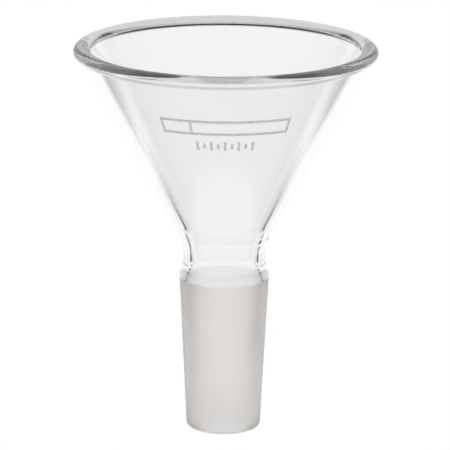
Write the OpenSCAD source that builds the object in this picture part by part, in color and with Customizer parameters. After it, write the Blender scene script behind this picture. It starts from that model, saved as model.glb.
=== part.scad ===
// Laboratory powder funnel in borosilicate glass with a 24/40 standard taper joint.
// A beaded 58 degree cone is fused to a ground joint blank, and the tube is pinched to a waist
// just above the ground zone. The origin is the centre of the tip, with +Z up the axis.
// Every glass sub-part is a turned solid cut from one wall section, so neighbours meet face to face.

/* [Rim] */
// Outside diameter over the bead
rim_d = 81; // [78:0.5:84]
// Width of the bead's section
bead_w = 4.6; // [4.4:0.1:5]
// Height of the bead's section
bead_h = 3.2; // [2.8:0.1:3.6]
// How far the bead stands out past the cone
bead_overhang = 0.8; // [0.5:0.1:1]
// Radius of the fillet under the bead on the outside
fillet_out = 1.5; // [0.8:0.1:2.5]
// Radius of the fillet under the bead on the inside
fillet_in = 6; // [3:0.5:8]

/* [Cone] */
// Height from the tip to the top of the bead
total_h = 105.4; // [104:0.2:108]
// Angle between the cone's outside and the axis
cone_angle = 28.9; // [28:0.1:30]
// Angle between the cone's inside and the axis
inner_angle = 28.2; // [27.6:0.1:28.6]
// Thickness of the cone wall at the rim
rim_wall = 3.3; // [3:0.1:3.5]

/* [Throat] */
// Outside diameter at the waist
waist_d = 22.1; // [21.6:0.1:22.8]
// Height of the waist above the ground zone
waist_up = 5.1; // [4.5:0.1:6]
// Length of the waist's straight stretch
waist_l = 1.5; // [0.5:0.1:2.5]
// Inside diameter at the throat
throat_d = 17.7; // [17:0.1:18.2]
// Height of the throat above the ground zone
throat_up = 4.3; // [3.5:0.1:5.5]
// Length of the throat's straight stretch
throat_l = 1.7; // [0.5:0.1:2.5]
// Height of the weld's lower edge above the ground zone
weld_up = 9.2; // [8:0.1:10]
// Height of the welded ring
weld_h = 2.4; // [1:0.1:3]

/* [Ground joint] */
// Diameter at the wide end of the ground zone
joint_d = 24; // [23.8:0.1:24.2]
// Length of the ground zone
joint_l = 40; // [39:0.5:41]
// Loss of diameter for each millimetre of length
taper = 0.1; // [0.09:0.005:0.11]
// Radial thickness of the tube wall
joint_wall = 2; // [1.8:0.1:2.2]
// Height of the fire-polished tip below the ground zone
tip_h = 1.9; // [1.8:0.1:2.4]
// Radius of the tip's outer edge
tip_round = 1.4; // [1:0.1:1.5]

/* [Enamel marks] */
// Height of the middle of the writing frame
frame_z = 90.4; // [88:0.2:94]
// Height of the writing frame up the cone
frame_h = 4.4; // [3:0.2:6]
// Angle that the writing frame spans round the axis
frame_span = 61; // [40:1:80]
// Height of the middle of the size mark
size_z = 84.9; // [82:0.1:85]
// Angle that the size mark spans round the axis
size_span = 28; // [20:1:40]
// Width of an enamel line
line_w = 0.7; // [0.4:0.1:0.8]
// Thickness of the enamel
enamel = 0.1; // [0.08:0.01:0.2]

/* [Hidden] */
$fn = 180;

// Ground joint: ends of the ground zone, and the bore, which tapers as the outside does
ground_low = tip_h;
ground_top = tip_h + joint_l;
joint_r = joint_d / 2;
tip_r = joint_r - taper / 2 * joint_l;
bore_tip_r = tip_r - joint_wall;
bore_chamfer = 0.3;

// Shoulder: a clear band above the ground zone that rounds over into the waist. The bore starts to
// narrow bore_end_drop below the top of the ground zone.
shoulder_band = 0.7;
shoulder_z = ground_top + shoulder_band;
bore_end_drop = 1.4;
bore_end_z = ground_top - bore_end_drop;
bore_end_r = bore_tip_r + taper / 2 * bore_end_z;

// Cone wall: its outer line passes bead_overhang inside the bead at the height of the bead's middle
bead_z = total_h - bead_h / 2;
outer_top_r = rim_d / 2 - bead_overhang;
inner_top_r = outer_top_r - rim_wall / cos(cone_angle);
function line_r(top_r, angle, z) = top_r - tan(angle) * (bead_z - z);
function cone_r(z) = line_r(outer_top_r, cone_angle, z);

// Waist and throat: the short stretches where the outside and the inside run along the axis
waist_r = waist_d / 2;
waist_z = ground_top + waist_up;
waist_top = waist_z + waist_l;
throat_r = throat_d / 2;
throat_z = ground_top + throat_up;
throat_top = throat_z + throat_l;

// Bead: two round edges with a flat between them
bead_round = bead_h / 2;
bead_out = rim_d / 2 - bead_round;
bead_in = rim_d / 2 - bead_w + bead_round;

// Enamel marks: the narrow field's share of the frame, and the ticks of the size mark
narrow_share = 0.22;
ticks = 9;
tick_long = 2.6;
tick_short = 1.4;

// Planes where the glass sub-parts meet
weld_low = ground_top + weld_up;
weld_top = weld_low + weld_h;
rim_seam = bead_z - 0.35 * bead_h;

// Points along an arc, from angle a to angle b about a centre
function arc(centre, r, a, b, steps = 12) =
    [for (i = [0:steps]) let (t = a + (b - a) * i / steps) centre + r * [cos(t), sin(t)]];

// An S curve of two equal arcs that runs from p, along the axis direction, to q
function s_radius(p, q) = (pow(q.x - p.x, 2) + pow(q.y - p.y, 2)) / (4 * abs(q.x - p.x));
function s_curve(p, q) =
    let (r = s_radius(p, q), side = sign(q.x - p.x), up = sign(q.y - p.y),
         turn = asin(abs(q.y - p.y) / (2 * r)), start = side > 0 ? 180 : 0, end = 180 - start)
    concat(arc([p.x + side * r, p.y], r, start, start - side * up * turn, 8),
           arc([q.x - side * r, q.y], r, end - side * up * turn, end, 8));

// The arc that leaves the axis direction at [r, z] and ends tangent to a line of the cone wall
function flare(r, z, top_r, angle) =
    let (turn = (r - line_r(top_r, angle, z)) / (1 / cos(angle) - 1))
    arc([r + turn, z], turn, 180, 180 - angle);

// The fillet under the bead, on the outer side (+1) or the inner side (-1) of the cone wall.
// It touches a line of the wall and one round edge of the bead.
function fillet(side, f, top_r, angle, round_r) =
    let (d = top_r - round_r, b = bead_round, ca = cos(angle), sa = sin(angle),
         s = -d * sa - sqrt(d * d * sa * sa - d * d - 2 * side * d * f * ca + b * b + 2 * b * f),
         centre = [top_r + s * sa + side * f * ca, bead_z + s * ca - side * f * sa],
         to_bead = [round_r, bead_z] - centre,
         from = side > 0 ? 180 - angle : -angle,
         aim = atan2(to_bead.y, to_bead.x))
    [arc(centre, f, from, aim, 6), aim - 180];

outer_fillet = fillet(1, fillet_out, outer_top_r, cone_angle, bead_out);
inner_fillet = fillet(-1, fillet_in, inner_top_r, inner_angle, bead_in);

outside = concat(
    arc([tip_r - tip_round, tip_round], tip_round, -90, 0, 8),
    [[tip_r, ground_low], [joint_r, ground_top]],
    s_curve([joint_r, shoulder_z], [waist_r, waist_z]),
    flare(waist_r, waist_top, outer_top_r, cone_angle),
    outer_fillet[0],
    arc([bead_out, bead_z], bead_round, outer_fillet[1], 90));

inside = concat(
    [[bore_tip_r + bore_chamfer, 0], [bore_tip_r, bore_chamfer]],
    s_curve([bore_end_r, bore_end_z], [throat_r, throat_z]),
    flare(throat_r, throat_top, inner_top_r, inner_angle),
    inner_fillet[0],
    arc([bead_in, bead_z], bead_round, inner_fillet[1], -270));

module wall_section() {
    polygon(concat(outside, [for (i = [len(inside) - 1:-1:0]) inside[i]]));
}

// The turned wall between two heights
module turned(low, high) {
    rotate_extrude()
        intersection() {
            wall_section();
            translate([0, low]) square([rim_d, high - low]);
        }
}

// A layer that follows the outside of the cone between two heights, centred on the -Y side and
// turned by an angle. It lies between two distances from the cone's surface.
module cone_layer(low, high, span, turn = 0, near = 0, far = enamel) {
    out = [cos(cone_angle), -sin(cone_angle)];
    foot = [cone_r(low), low];
    head = [cone_r(high), high];
    rotate([0, 0, -90 + turn - span / 2])
        rotate_extrude(angle = span)
            polygon([foot + near * out, foot + far * out, head + far * out, head + near * out]);
}

module rim_bead() {
    color("lightsteelblue") turned(rim_seam, total_h + 1);
}

module funnel_cone() {
    color("lightcyan") turned(weld_top, rim_seam);
}

module weld_ring() {
    color("lightblue") turned(weld_low, weld_top);
}

module joint_neck() {
    color("azure") turned(ground_top, weld_low);
}

module ground_taper() {
    color("gainsboro") turned(ground_low, ground_top);
}

module polished_tip() {
    color("whitesmoke") turned(-1, ground_low);
}

// The angle that a width covers round the cone at a height
function width_angle(width, z) = width / cone_r(z) * 180 / PI;

// An outlined strip to write on, with a narrow field and a wide one
module writing_frame() {
    low = frame_z - frame_h / 2;
    high = frame_z + frame_h / 2;
    line = width_angle(line_w, frame_z);
    inner = frame_span - 3 * line;
    narrow = inner * narrow_share;
    wide = inner - narrow;
    color("silver")
        difference() {
            cone_layer(low, high, frame_span);
            for (field = [[narrow, -(wide + line) / 2], [wide, (narrow + line) / 2]])
                cone_layer(low + line_w, high - line_w, field[0], field[1], -enamel, 2 * enamel);
        }
}

// A row of plain ticks, long and short in turn
module size_mark() {
    step = size_span / (ticks - 1);
    color("silver")
        for (i = [0:ticks - 1]) {
            half = (i % 2 == 0 ? tick_long : tick_short) / 2;
            cone_layer(size_z - half, size_z + half, width_angle(line_w, size_z), i * step - size_span / 2);
        }
}

rim_bead();
funnel_cone();
weld_ring();
joint_neck();
ground_taper();
polished_tip();
writing_frame();
size_mark();
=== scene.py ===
"""Laboratory powder funnel: clear borosilicate glass, a ground taper joint and enamel marks.

The funnel is one closed wall, turned round the Z axis. The wall's section is drawn once, swept
into a grid of points, and each piece takes its own stretch of that grid, so neighbours share
their points and their normals and the fused seams don't show. Lengths are in metres.
"""
import math
import bpy
import numpy as np
from mathutils import Matrix, Vector


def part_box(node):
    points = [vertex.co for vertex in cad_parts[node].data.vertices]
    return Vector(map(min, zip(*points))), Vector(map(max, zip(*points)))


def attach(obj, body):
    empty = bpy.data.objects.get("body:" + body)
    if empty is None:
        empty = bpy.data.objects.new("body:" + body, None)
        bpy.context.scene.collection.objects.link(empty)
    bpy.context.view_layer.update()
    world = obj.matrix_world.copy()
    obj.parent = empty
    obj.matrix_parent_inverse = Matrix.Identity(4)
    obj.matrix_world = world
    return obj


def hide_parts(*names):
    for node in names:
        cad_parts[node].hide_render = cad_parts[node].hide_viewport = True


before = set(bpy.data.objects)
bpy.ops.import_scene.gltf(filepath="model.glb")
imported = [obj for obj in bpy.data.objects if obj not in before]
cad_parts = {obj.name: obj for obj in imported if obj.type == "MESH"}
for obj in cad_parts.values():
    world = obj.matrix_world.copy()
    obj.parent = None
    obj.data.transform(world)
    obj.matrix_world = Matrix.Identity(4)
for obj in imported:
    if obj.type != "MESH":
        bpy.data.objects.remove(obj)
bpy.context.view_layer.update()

MM = 0.001

# Heights and radii that the frame gives
rim_low, rim_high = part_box("rim_bead")
TOTAL_H = rim_high.z
RIM_SEAM = rim_low.z
RIM_R = rim_high.x
WELD_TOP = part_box("weld_ring")[1].z
WELD_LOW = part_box("weld_ring")[0].z
GROUND_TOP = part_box("ground_taper")[1].z
GROUND_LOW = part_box("ground_taper")[0].z
JOINT_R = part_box("ground_taper")[1].x
TIP_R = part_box("polished_tip")[1].x

# Section of the bead, an ellipse, and the fillets under it
BEAD_W = 4.6 * MM
BEAD_H = 3.2 * MM
BEAD_R = RIM_R - BEAD_W / 2
BEAD_Z = TOTAL_H - BEAD_H / 2
BEAD_OVERHANG = 0.8 * MM
FILLET_OUT = 1.5 * MM
FILLET_IN = 6 * MM

# Angles round the bead's section, in degrees, between which each fillet meets it
MEET_OUT = (0, -90)
MEET_IN = (155, 250)

# Cone wall, which thickens towards the rim: its two lines at the height of the bead's middle
CONE_OUT = math.radians(28.9)
CONE_IN = math.radians(28.2)
RIM_WALL = 3.3 * MM
CONE_OUT_R = RIM_R - BEAD_OVERHANG
CONE_IN_R = CONE_OUT_R - RIM_WALL / math.cos(CONE_OUT)

# Waist, throat, bore and tip. POLISH_H is the height up to which the tip is polished outside.
WAIST_R = 11.05 * MM
WAIST_LOW_Z = GROUND_TOP + 5.1 * MM
WAIST_Z = GROUND_TOP + 6.6 * MM
THROAT_R = 8.85 * MM
THROAT_LOW_Z = GROUND_TOP + 4.3 * MM
THROAT_Z = GROUND_TOP + 6 * MM
SHOULDER_Z = GROUND_TOP + 0.7 * MM
JOINT_WALL = 2 * MM
BORE_END_Z = GROUND_TOP - 1.4 * MM
TAPER = (JOINT_R - TIP_R) / (GROUND_TOP - GROUND_LOW)
TIP_ROUND = 1.4 * MM
POLISH_H = 0.45 * MM
BORE_ROUND = 0.4 * MM

# Trace of the flame weld: its height, its width up the wall, and how it changes on the +X side.
# The groove lies WELD_BELOW widths below the ridge.
WELD_TRACE_Z = WELD_LOW + 0.4 * MM
WELD_TRACE_W = 0.55 * MM
WELD_RISE = 1.6 * MM
WELD_RIDGE = 0.11 * MM
WELD_GROOVE = 0.05 * MM
WELD_BELOW = 2
WELD_FAINT = 0.1
WELD_SPREAD = math.radians(34)

# Steps round the axis, and along each kind of stretch of the section
SEGMENTS = 288
ARC_STEPS = 12
S_STEPS = 16
FLARE_STEPS = 30
TUBE_STEPS = 30
CONE_STEPS = 60
WAIST_STEPS = 4
TIP_STEPS = 2
BORE_ROUND_STEPS = 6
BEAD_STEPS = 31

# Halvings of the span in which a fillet meets the bead, and a length that counts as none
HALVINGS = 60
TINY = 1e-12

# Parts of a noise's range that a step spreads out, wide for soft clouds and narrow for clear ones
WIDE = (0.3, 0.7)
NARROW = (0.35, 0.65)

# Levels of detail in a noise
SMOOTH, FINE, FINEST = 2.0, 3.0, 4.0

# Glass: refractive index, the two tones of its faint clouds, and the height of its skin's ripple.
# The bead has painted shade: its colour is darkened from its middle upwards, in place of the
# dark surroundings that its thick glass gathers.
IOR = 1.473
CLEAR_TONES = (0.961, 0.966, 0.965, 1), (0.971, 0.975, 0.974, 1)
CLEAR_RIPPLE = 0.02 * MM
CLEAR_STREAKS = (90, 90, 18)
CLOUD_SCALE = 60.0
BEAD_RIPPLE = 0.012 * MM
BEAD_STREAKS = (50, 50, 260)
BEAD_SHADE_LEVEL = 0.5
BEAD_SHADED_TONES = (0.97, 0.975, 0.973), (1.03, 1.035, 1.033)
BEAD_PAINTED_SHADE_BAND = (BEAD_Z - 0.5 * MM, BEAD_Z + 0.6 * MM)

# Ground zone: its two tones, its roughness, how much light goes through, and its grain
GROUND_TONES = (0.96, 0.925, 0.9, 1), (1.0, 0.965, 0.94, 1)
GROUND_ROUGH = 0.62
ROUGH_SPREAD = 0.05
GROUND_CLEAR = 0.95
GROUND_CLOUDS = 70.0
GRAIN_SCALE = 1500.0
GRAIN_DEPTH = 0.01 * MM

# Enamel: its two tones, its roughness, and how much of the glass it covers
ENAMEL_TONES = (0.5, 0.51, 0.51, 1), (0.62, 0.63, 0.63, 1)
ENAMEL_ROUGH = (0.35, 0.5)
ENAMEL_COVER = (0.26, 0.4)
ENAMEL_SCALE = 900.0
ENAMEL_IOR = 1.5


def arc(x, z, radius, start, end, steps):
    """Points along an arc about (x, z); the angles are in degrees."""
    angles = np.radians(np.linspace(start, end, steps + 1))
    return [(x + radius * math.cos(a), z + radius * math.sin(a)) for a in angles]


def line(p, q, steps):
    """Points along a straight line, without its ends."""
    shares = np.linspace(0, 1, steps + 1)[1:-1]
    return [(p[0] + (q[0] - p[0]) * t, p[1] + (q[1] - p[1]) * t) for t in shares]


def s_curve(p, q):
    """Two equal arcs from p to q that start and end along the axis direction."""
    dx, dz = q[0] - p[0], q[1] - p[1]
    radius = (dx * dx + dz * dz) / (4 * abs(dx))
    side, up = math.copysign(1, dx), math.copysign(1, dz)
    turn = math.degrees(math.asin(abs(dz) / (2 * radius)))
    start = 180 if side > 0 else 0
    end = 180 - start
    first = arc(p[0] + side * radius, p[1], radius, start, start - side * up * turn, S_STEPS)
    second = arc(q[0] - side * radius, q[1], radius, end - side * up * turn, end, S_STEPS)
    return first + second[1:]


def flare(radius, z, cone_r, angle):
    """The arc that leaves the axis direction at a height and ends tangent to a line of the cone."""
    wall_r = cone_r - math.tan(angle) * (BEAD_Z - z)
    turn = (radius - wall_r) / (1 / math.cos(angle) - 1)
    return arc(radius + turn, z, turn, 180, 180 - math.degrees(angle), FLARE_STEPS)


def bead_point(t, off=0.0):
    """A point at an angle round the bead's section, moved off the surface by a distance."""
    x, z = BEAD_W / 2 * math.cos(t), BEAD_H / 2 * math.sin(t)
    nx, nz = math.cos(t) / BEAD_W, math.sin(t) / BEAD_H
    size = math.hypot(nx, nz)
    return BEAD_R + x + off * nx / size, BEAD_Z + z + off * nz / size


def bead_fillet(side, cone_r, angle, radius, meet):
    """The fillet between a line of the cone and the bead, and the angle at which it meets the bead.
    The angle is found by halving the span in which they meet."""
    nx, nz = side * math.cos(angle), -side * math.sin(angle)
    low, high = math.radians(meet[0]), math.radians(meet[1])
    for _ in range(HALVINGS):
        t = (low + high) / 2
        x, z = bead_point(t, radius)
        if (x - cone_r) * nx + (z - BEAD_Z) * nz > radius:
            low = t
        else:
            high = t
    px, pz = bead_point(t)
    on_wall = math.degrees(math.atan2(-nz, -nx))
    on_bead = math.degrees(math.atan2(pz - z, px - x))
    turn = (on_bead - on_wall + 180) % 360 - 180
    return arc(x, z, radius, on_wall, on_wall + turn, ARC_STEPS), t


def bead_side(start, end):
    """Points round the bead's section between two angles, without the first."""
    return [bead_point(t) for t in np.linspace(start, end, BEAD_STEPS + 1)[1:]]


def outer_outline():
    """The outside of the wall, from the tip up to the top of the bead."""
    fillet, meet = bead_fillet(1, CONE_OUT_R, CONE_OUT, FILLET_OUT, MEET_OUT)
    cone_foot = flare(WAIST_R, WAIST_Z, CONE_OUT_R, CONE_OUT)
    made = arc(TIP_R - TIP_ROUND, TIP_ROUND, TIP_ROUND, -90, 0, ARC_STEPS)
    made += line((TIP_R, TIP_ROUND), (TIP_R, GROUND_LOW), TIP_STEPS)
    made += [(TIP_R, GROUND_LOW)]
    made += line((TIP_R, GROUND_LOW), (JOINT_R, GROUND_TOP), TUBE_STEPS)
    made += [(JOINT_R, GROUND_TOP)]
    made += s_curve((JOINT_R, SHOULDER_Z), (WAIST_R, WAIST_LOW_Z))
    made += line((WAIST_R, WAIST_LOW_Z), (WAIST_R, WAIST_Z), WAIST_STEPS)
    made += cone_foot
    made += line(cone_foot[-1], fillet[0], CONE_STEPS) + fillet
    made += bead_side(meet, math.pi / 2)
    return made


def inner_outline():
    """The inside of the wall, from the top of the bead down to the tip."""
    fillet, meet = bead_fillet(-1, CONE_IN_R, CONE_IN, FILLET_IN, MEET_IN)
    cone_foot = flare(THROAT_R, THROAT_Z, CONE_IN_R, CONE_IN)
    bore_tip = TIP_R - JOINT_WALL
    bore_end = bore_tip + TAPER * BORE_END_Z
    made = bead_side(math.pi / 2, meet)
    made += fillet[::-1][1:]
    made += line(fillet[0], cone_foot[-1], CONE_STEPS)
    made += cone_foot[::-1]
    made += line((THROAT_R, THROAT_Z), (THROAT_R, THROAT_LOW_Z), WAIST_STEPS)
    made += s_curve((bore_end, BORE_END_Z), (THROAT_R, THROAT_LOW_Z))[::-1]
    made += line((bore_end, BORE_END_Z), (bore_tip, BORE_ROUND), TUBE_STEPS)
    made += arc(bore_tip + BORE_ROUND, BORE_ROUND, BORE_ROUND, 180, 270, BORE_ROUND_STEPS)
    return made


def cut(points, planes):
    """The points, with one more wherever the line crosses a plane, so that pieces end there."""
    made = [points[0]]
    for p, q in zip(points, points[1:]):
        cuts = [z for z in planes if (p[1] - z) * (q[1] - z) < 0]
        for z in sorted(cuts, reverse=bool(p[1] > q[1])):
            t = (z - p[1]) / (q[1] - p[1])
            made.append((p[0] + (q[0] - p[0]) * t, z))
        made.append(q)
    return made


def turned(section):
    """The section turned round the axis, one row for each of its points."""
    turn = np.linspace(0, 2 * math.pi, SEGMENTS, endpoint=False)
    radius = np.repeat(section[:, :1], SEGMENTS, 1)
    height = np.repeat(section[:, 1:], SEGMENTS, 1)
    return np.stack([radius * np.cos(turn), radius * np.sin(turn), height], -1)


def weld_trace(points, n_outer):
    """Leaves the trace of the flame weld on the outside: a low ridge round the wall that grows,
    rises and gains a groove on the +X side, where the seam was closed."""
    made = points.copy()
    outside = points[:n_outer]
    turn = np.arctan2(outside[..., 1], outside[..., 0])
    near = np.exp(-(turn / WELD_SPREAD) ** 2)
    off = (outside[..., 2] - WELD_TRACE_Z - WELD_RISE * near) / WELD_TRACE_W
    ridge = WELD_RIDGE * (WELD_FAINT + near) * np.exp(-off ** 2)
    groove = WELD_GROOVE * near * np.exp(-(off + WELD_BELOW) ** 2)
    radius = np.linalg.norm(outside[..., :2], axis=-1, keepdims=True)
    made[:n_outer, :, :2] *= 1 + (ridge - groove)[..., None] / radius
    return made


def unit(v):
    """Vectors of length 1."""
    return v / np.maximum(np.linalg.norm(v, axis=-1, keepdims=True), TINY)


def wall_normals(points):
    """The normal at each point of the grid, from its neighbours along the section and round it."""
    along = unit(np.roll(points, -1, 0) - points) + unit(points - np.roll(points, 1, 0))
    across = np.roll(points, -1, 1) - np.roll(points, 1, 1)
    return unit(np.cross(across, along))


PLANES = [GROUND_LOW, GROUND_TOP, WELD_LOW, WELD_TOP, RIM_SEAM]
outer = cut(outer_outline(), PLANES)
rows = np.array(outer + cut(inner_outline(), PLANES))
n_outer = len(outer)
points = weld_trace(turned(rows), n_outer)
normals = wall_normals(points)

# Material slots of a glass piece, and the slack when rows are picked by their height
OUTSIDE, INSIDE, SEAM_FACE = 0, 1, 2
SLACK = 1e-7


def is_seam(a, b):
    """True where two rows of a piece are not next to each other on the wall's closed section."""
    return abs(a - b) != 1 and {a, b} != {0, len(rows) - 1}


def glass_piece(name, low, high, materials, body="root"):
    """A stretch of the wall between two heights, closed by a ring at each end. The materials are
    for its outside, its inside and its seams."""
    z = rows[:, 1]
    loop = [k for k in range(len(rows)) if low - SLACK <= z[k] <= high + SLACK]
    count = len(loop)
    faces, slots, face_normals = [], [], []
    for a in range(count):
        b = (a + 1) % count
        p, q = loop[a], loop[b]
        end = (0, 0, 1) if z[p] > (low + high) / 2 else (0, 0, -1)
        if is_seam(p, q):
            slot = SEAM_FACE
        else:
            slot = OUTSIDE if p < n_outer and z[p] > POLISH_H else INSIDE
        for j in range(SEGMENTS):
            k = (j + 1) % SEGMENTS
            corners = [(a, j), (a, k), (b, k), (b, j)]
            faces.append([row * SEGMENTS + step for row, step in corners])
            slots.append(slot)
            if slot == SEAM_FACE:
                face_normals += [end] * 4
            else:
                face_normals += [tuple(normals[loop[row], step]) for row, step in corners]
    mesh = bpy.data.meshes.new(name)
    mesh.from_pydata(points[loop].reshape(-1, 3).tolist(), [], faces)
    for material in materials:
        mesh.materials.append(material)
    mesh.polygons.foreach_set("material_index", slots)
    mesh.polygons.foreach_set("use_smooth", [True] * len(faces))
    mesh.update()
    mesh.normals_split_custom_set(face_normals)
    piece = bpy.data.objects.new(name, mesh)
    bpy.context.scene.collection.objects.link(piece)
    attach(piece, body)
    return piece


def new_material(name):
    """An empty material and the graph of its nodes."""
    material = bpy.data.materials.new(name)
    material.use_nodes = True
    material.node_tree.nodes.clear()
    return material, Graph(material.node_tree)


# Sockets of a colour Mix node, which go by number because their names repeat
MIX_A, MIX_B, MIX_RESULT = 6, 7, 2

# Soft ends of a band, as shares of its low and high values
BAND_RISE = (0.9, 1.15)
BAND_FALL = (1.1, 0.85)


class Graph:
    """Short ways to add and join shader nodes."""

    def __init__(self, tree):
        self.nodes, self.links = tree.nodes, tree.links

    def add(self, kind, inputs=None, **settings):
        """A shader node, with its inputs joined to sockets or set to values."""
        node = self.nodes.new("ShaderNode" + kind)
        for name, value in settings.items():
            setattr(node, name, value)
        for key, value in (inputs or {}).items():
            if isinstance(value, bpy.types.NodeSocket):
                self.links.new(value, node.inputs[key])
            else:
                node.inputs[key].default_value = value
        return node

    def math(self, operation, *values):
        return self.add("Math", dict(enumerate(values)), operation=operation).outputs[0]

    def both(self, a, b):
        return self.math("MULTIPLY", a, b)

    def either(self, a, b):
        return self.math("MAXIMUM", a, b)

    def step(self, value, low, high, to_low=0.0, to_high=1.0):
        """Smooth step from to_low to to_high, as the value goes from low to high."""
        sockets = {"Value": value, "From Min": low, "From Max": high, "To Min": to_low, "To Max": to_high}
        return self.add("MapRange", sockets, interpolation_type="SMOOTHSTEP").outputs[0]

    def band(self, value, low, high):
        """1 between two values, with soft ends at them."""
        rise = self.step(value, BAND_RISE[0] * low, BAND_RISE[1] * low)
        fall = self.step(value, BAND_FALL[0] * high, BAND_FALL[1] * high)
        return self.both(rise, fall)

    def noise(self, vector, scale, detail=SMOOTH):
        sockets = {"Vector": vector, "Scale": scale, "Detail": detail}
        return self.add("TexNoise", sockets).outputs[0]

    def mix(self, factor, a, b):
        """A colour between a and b."""
        return self.add("Mix", {0: factor, MIX_A: a, MIX_B: b}, data_type="RGBA").outputs[MIX_RESULT]

    def bump(self, height, distance):
        return self.add("Bump", {"Height": height, "Distance": distance, "Strength": 1.0}).outputs[0]

    def surface(self, shader):
        self.add("OutputMaterial", {"Surface": shader.outputs[0]})


def clear_glass(name, ripple, streaks, shade_band=None):
    """Flame-polished borosilicate glass. Its skin ripples a little, in streaks that run along the
    axis or round it: streaks is their fineness along each axis. Between two given heights, if any,
    its colour is darkened: painted shade for the dark surroundings that thick glass gathers."""
    material, g = new_material(name)
    position = g.add("TexCoord").outputs["Object"]
    bumps = g.noise(g.add("Mapping", {"Vector": position, "Scale": streaks}).outputs[0], 1.0)
    clouds = g.step(g.noise(position, CLOUD_SCALE, FINEST), *WIDE)
    tint = g.mix(clouds, *CLEAR_TONES)
    # Painted shade: above the bead's middle its colour is darkened to about half, for the dark
    # surroundings its glass gathers
    if shade_band:
        height = g.add("SeparateXYZ", {0: position}).outputs[2]
        dark, pale = [tuple(BEAD_SHADE_LEVEL * c for c in tone) + (1,) for tone in BEAD_SHADED_TONES]
        tint = g.mix(g.step(height, *shade_band), tint, g.mix(clouds, dark, pale))
    g.surface(g.add("BsdfPrincipled", {
        "Base Color": tint, "Roughness": 0.0, "IOR": IOR, "Transmission Weight": 1.0,
        "Normal": g.bump(bumps, ripple)}))
    return material


def ground_glass():
    """The ground zone: rough, faintly warm, with a fine grain."""
    material, g = new_material("ground_glass")
    position = g.add("TexCoord").outputs["Object"]
    grain = g.noise(position, GRAIN_SCALE, FINE)
    clouds = g.noise(position, GROUND_CLOUDS, FINE)
    tint = g.mix(g.step(clouds, *NARROW), *GROUND_TONES)
    rough = g.step(grain, *WIDE, GROUND_ROUGH - ROUGH_SPREAD, GROUND_ROUGH + ROUGH_SPREAD)
    g.surface(g.add("BsdfPrincipled", {
        "Base Color": tint, "Roughness": rough, "IOR": IOR, "Transmission Weight": GROUND_CLEAR,
        "Normal": g.bump(grain, GRAIN_DEPTH)}))
    return material


def enamel():
    """The fired print: pale grey, with the slightly uneven cover of a screen print."""
    material, g = new_material("enamel")
    position = g.add("TexCoord").outputs["Object"]
    cover = g.noise(position, ENAMEL_SCALE, FINE)
    tint = g.mix(g.step(cover, *NARROW), *ENAMEL_TONES)
    rough = g.step(cover, *WIDE, *ENAMEL_ROUGH)
    alpha = g.step(cover, *WIDE, *ENAMEL_COVER)
    g.surface(g.add("BsdfPrincipled", {
        "Base Color": tint, "Roughness": rough, "IOR": ENAMEL_IOR, "Alpha": alpha}))
    return material


def fused_seam():
    """The inside of a fused seam, where the glass runs on without a break."""
    material, g = new_material("fused_seam")
    g.surface(g.add("BsdfTransparent"))
    return material


CLEAR = clear_glass("clear_glass", CLEAR_RIPPLE, CLEAR_STREAKS)
BEAD = clear_glass("bead_glass", BEAD_RIPPLE, BEAD_STREAKS, BEAD_PAINTED_SHADE_BAND)
GROUND = ground_glass()
SEAM = fused_seam()

# Each glass piece: its CAD node, its two heights, and its materials outside and inside
LAYOUT = [
    ("rim_bead", RIM_SEAM, TOTAL_H, BEAD, BEAD),
    ("funnel_cone", WELD_TOP, RIM_SEAM, CLEAR, CLEAR),
    ("weld_ring", WELD_LOW, WELD_TOP, CLEAR, CLEAR),
    ("joint_neck", GROUND_TOP, WELD_LOW, CLEAR, CLEAR),
    ("ground_taper", GROUND_LOW, GROUND_TOP, GROUND, CLEAR),
    ("polished_tip", 0, GROUND_LOW, GROUND, CLEAR),
]
for node, low, high, outside, inside in LAYOUT:
    piece = glass_piece("glass_" + node, low, high, [outside, inside, SEAM])
    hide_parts(node)

ENAMEL = enamel()
for node in ("writing_frame", "size_mark"):
    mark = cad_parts[node]
    mark.data.materials.clear()
    mark.data.materials.append(ENAMEL)


# Studio. The floor is a plain white light table. The camera sees it white everywhere, but to the
# glass it also holds what darkens a table when glassware is photographed, and that draws the dark
# lines of the rim and throat: a near and a far black flag at each back corner, and a painted shadow
# of the funnel, which is a dim ring at the sides and front and a slightly dim disc under the tip.
# The sky is a pale backdrop behind and dark elsewhere. Angles are round the Z axis, from +Y.
# Distances are from the axis: two for each flag and for the ring, and for the disc the one where it
# starts and the one where it is full.
FLOOR_HALF = 3.0
FLAG_LOW, FLAG_HIGH = math.radians(51), math.radians(75)
FLAG_SOFT = math.radians(2.5)
NEAR_FLAG = (0.06, 0.1)
FAR_FLAG = (0.13, 0.4)
# Painted shadow of the funnel on the table: a dim ring at the sides and front, and a dim disc under the
# tip
SHADOW_RING_LOW = math.radians(80)
SHADOW_RING = (0.05, 0.17)
SHADOW_RING_DARK = 0.6
TIP_SHADOW = (0.035, 0.0175)
TIP_SHADOW_DARK = 0.2
BACKDROP_EDGE = math.radians(47)
BACKDROP_TOP = math.radians(50)
EDGE_SOFT = math.radians(7)
BACKDROP_LIGHT = 0.68
SIDE_LIGHT = 0.03


def azimuth(g, direction):
    """The angle between a direction and +Y, without its sign, and the direction's Z part."""
    parts = g.add("SeparateXYZ", {0: direction}).outputs
    return g.math("ABSOLUTE", g.math("ARCTAN2", parts[0], parts[1])), parts[2]


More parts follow.
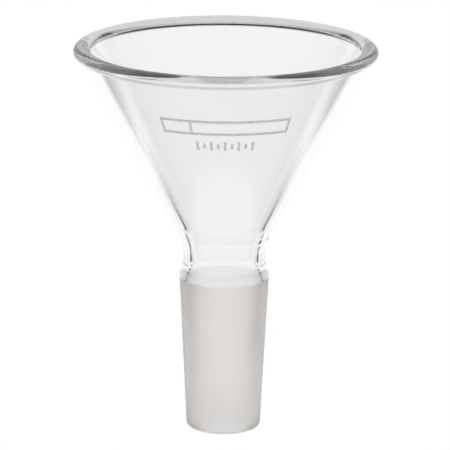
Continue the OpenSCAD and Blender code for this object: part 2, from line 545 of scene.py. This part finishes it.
def floor_light():
    """The light table, with its flags, and the ring and disc of the funnel's painted shadow."""
    material, g = new_material("floor")
    position = g.add("TexCoord").outputs["Object"]
    angle, _ = azimuth(g, position)
    distance = g.add("VectorMath", {0: position}, operation="LENGTH").outputs["Value"]
    corner = g.both(g.step(angle, FLAG_LOW - FLAG_SOFT, FLAG_LOW + FLAG_SOFT),
                    g.step(angle, FLAG_HIGH + FLAG_SOFT, FLAG_HIGH - FLAG_SOFT))
    flags = g.both(corner, g.either(g.band(distance, *NEAR_FLAG), g.band(distance, *FAR_FLAG)))
    # Painted shadow: the ring at the sides and front and the disc under the tip dim the table, for rays
    # other than camera rays
    front = g.step(angle, SHADOW_RING_LOW - FLAG_SOFT, SHADOW_RING_LOW + FLAG_SOFT, 0.0, SHADOW_RING_DARK)
    ring = g.both(front, g.band(distance, *SHADOW_RING))
    under = g.step(distance, *TIP_SHADOW, 0.0, TIP_SHADOW_DARK)
    unseen = g.math("SUBTRACT", 1.0, g.add("LightPath").outputs["Is Camera Ray"])
    dark = g.both(g.either(g.either(flags, ring), under), unseen)
    colour = g.mix(dark, (1, 1, 1, 1), (0, 0, 0, 1))
    g.surface(g.add("Emission", {"Color": colour, "Strength": 1.0}))
    return material


def sky_light():
    """The backdrop behind the funnel. The camera sees the whole sky white."""
    world = bpy.data.worlds.new("studio")
    world.use_nodes = True
    world.node_tree.nodes.clear()
    g = Graph(world.node_tree)
    angle, up = azimuth(g, g.add("TexCoord").outputs["Generated"])
    behind = g.step(angle, BACKDROP_EDGE + EDGE_SOFT, BACKDROP_EDGE - EDGE_SOFT)
    low = g.step(up, math.sin(BACKDROP_TOP + EDGE_SOFT), math.sin(BACKDROP_TOP - EDGE_SOFT))
    backdrop = g.both(g.both(behind, low), BACKDROP_LIGHT - SIDE_LIGHT)
    light = g.math("ADD", backdrop, SIDE_LIGHT)
    seen = g.either(light, g.add("LightPath").outputs["Is Camera Ray"])
    background = g.add("Background", {"Color": (1, 1, 1, 1), "Strength": seen})
    g.add("OutputWorld", {"Surface": background.outputs[0]})
    return world


def light_table():
    """A square floor round the origin."""
    mesh = bpy.data.meshes.new("floor")
    corners = [(-1, -1), (1, -1), (1, 1), (-1, 1)]
    mesh.from_pydata([(x * FLOOR_HALF, y * FLOOR_HALF, 0) for x, y in corners], [], [(0, 1, 2, 3)])
    mesh.materials.append(floor_light())
    floor = bpy.data.objects.new("floor", mesh)
    bpy.context.scene.collection.objects.link(floor)
    return floor


light_table()
bpy.context.scene.world = sky_light()

# Camera: it looks down at the aim from the front, and is turned a little about its own axis
CAMERA_DISTANCE = 1.0
CAMERA_DOWN = math.radians(14.98)
CAMERA_ROLL = 0.0075
CAMERA_AIM = Vector((0.00011, 0, 0.05607))
SENSOR_MM = 36
LENS_MM = 298.3
VIEW_END = 20

camera_data = bpy.data.cameras.new("camera")
camera_data.sensor_width = SENSOR_MM
camera_data.lens = LENS_MM
camera_data.clip_end = VIEW_END
camera = bpy.data.objects.new("camera", camera_data)
bpy.context.scene.collection.objects.link(camera)
bpy.context.scene.camera = camera
to_camera = Vector((0, -math.cos(CAMERA_DOWN), math.sin(CAMERA_DOWN)))
camera.location = CAMERA_AIM + CAMERA_DISTANCE * to_camera
tilt = Matrix.Rotation(math.radians(90) - CAMERA_DOWN, 3, "X")
roll = Matrix.Rotation(CAMERA_ROLL, 3, "Z")
camera.rotation_mode = "QUATERNION"
camera.rotation_quaternion = (tilt @ roll).to_quaternion()

# Light crosses many faces of clear glass before it reaches the floor
BOUNCES = 96
SEAM_BOUNCES = 32
bpy.context.scene.view_settings.view_transform = "Standard"
bpy.context.scene.cycles.max_bounces = BOUNCES
bpy.context.scene.cycles.transmission_bounces = BOUNCES
bpy.context.scene.cycles.glossy_bounces = BOUNCES
bpy.context.scene.cycles.transparent_max_bounces = SEAM_BOUNCES
